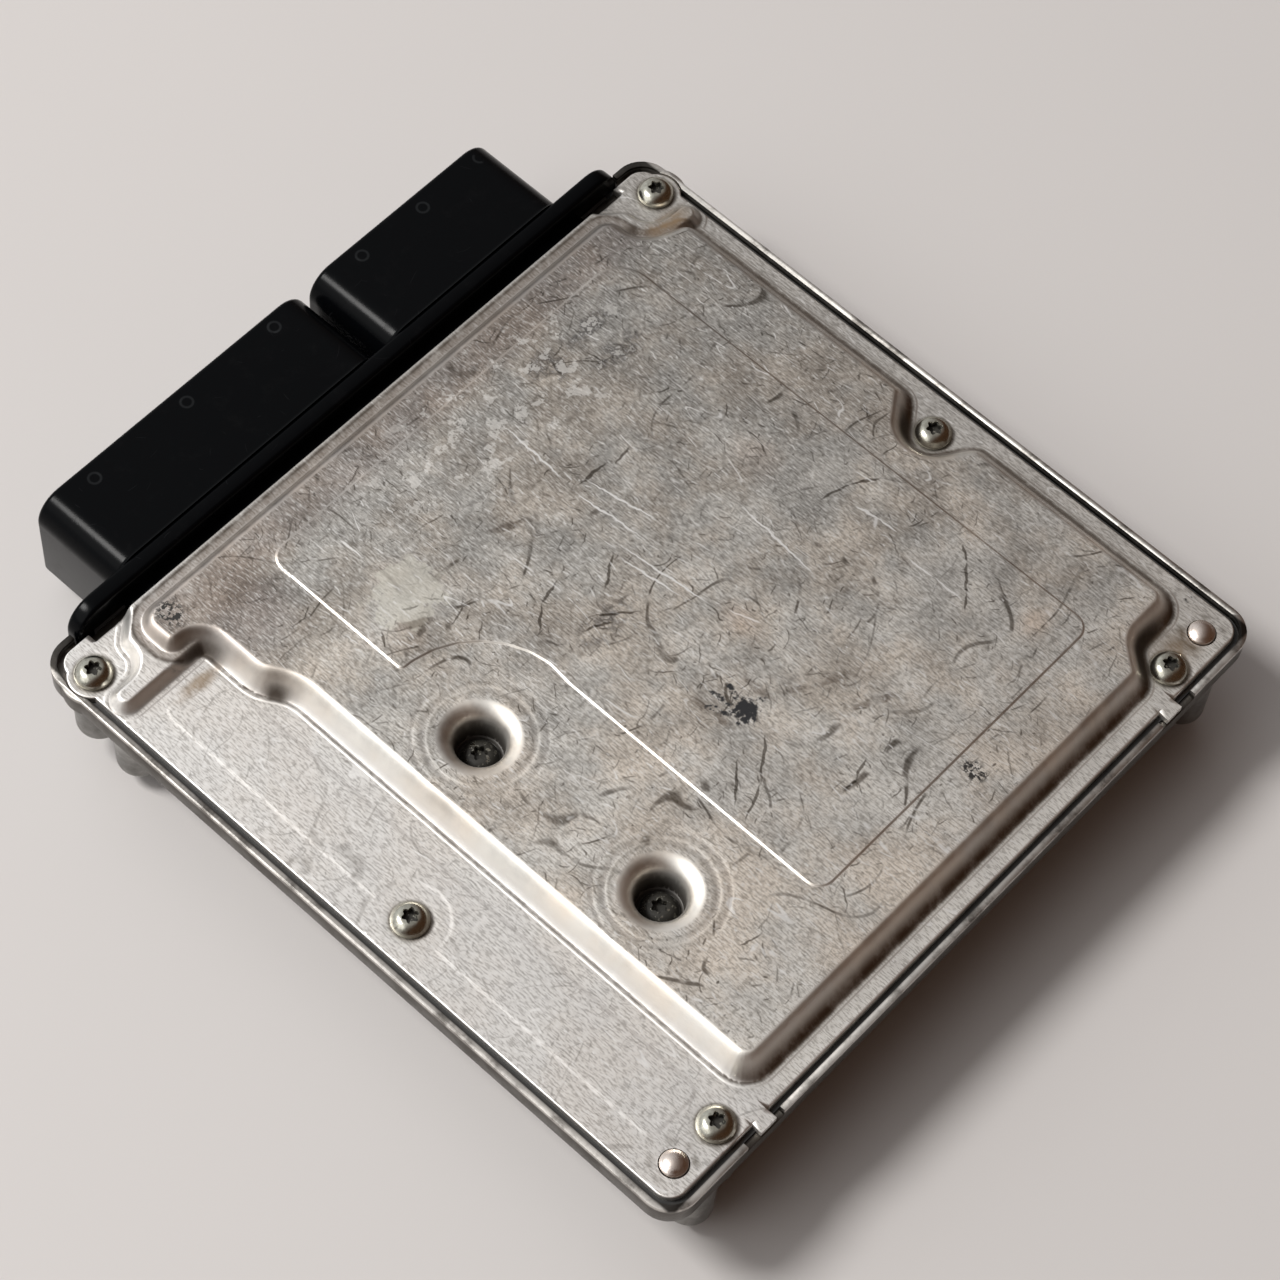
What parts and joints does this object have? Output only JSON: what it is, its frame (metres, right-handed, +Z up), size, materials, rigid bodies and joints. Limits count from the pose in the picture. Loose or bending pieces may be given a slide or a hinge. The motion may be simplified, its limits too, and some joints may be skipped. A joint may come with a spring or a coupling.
{
  "type": "engine control unit",
  "caption": "Flat die-cast engine control unit with a pressed sheet cover held by pan-head screws and a black moulded header with plug sockets.",
  "frame": {"origin": "middle of the resting pad on the underside, below the middle of the cover sheet", "axes": "+Z up out of the cover, the plug sockets face -Y, the low shelf runs along the +X edge"},
  "size_m": [0.1796, 0.1971, 0.0323],
  "materials": {
    "cast_aluminium": "die-cast, dull",
    "sheet_aluminium": "rolled sheet, worn and scuffed",
    "header_plastic": "moulded, satin black",
    "seal_rubber": "black silicone",
    "board": "green solder resist",
    "package": "moulded packages",
    "contact_metal": "tinned",
    "screw_steel": "zinc plated",
    "can": "capacitor can",
    "ceramic": "ceramic chip",
    "pad": "soft thermal pad"
  },
  "bodies": {
    "root": {"base_housing": "cast_aluminium", "top_cover": "sheet_aluminium", "cover_seal": "seal_rubber", "connector_header": "header_plastic", "header_seal": "seal_rubber", "circuit_board": "board", "large_signal_pins": "contact_metal", "large_power_pins": "contact_metal", "small_signal_pins": "contact_metal", "small_power_pins": "contact_metal", "cover_screws": "screw_steel", "well_screws": "screw_steel", "board_screws": "screw_steel", "microcontroller": "package", "flash_memory": "package", "supply_regulator": "package", "injector_drivers": "package", "output_drivers": "package", "sensor_interface": "package", "bus_transceivers": "package", "power_transistors": "package", "electrolytic_capacitors": "can", "ceramic_capacitors": "ceramic", "boost_inductor": "package", "supply_diode": "package", "clock_crystal": "screw_steel", "pressure_sensor": "package", "thermal_pads": "pad"}
  },
  "joints": []
}
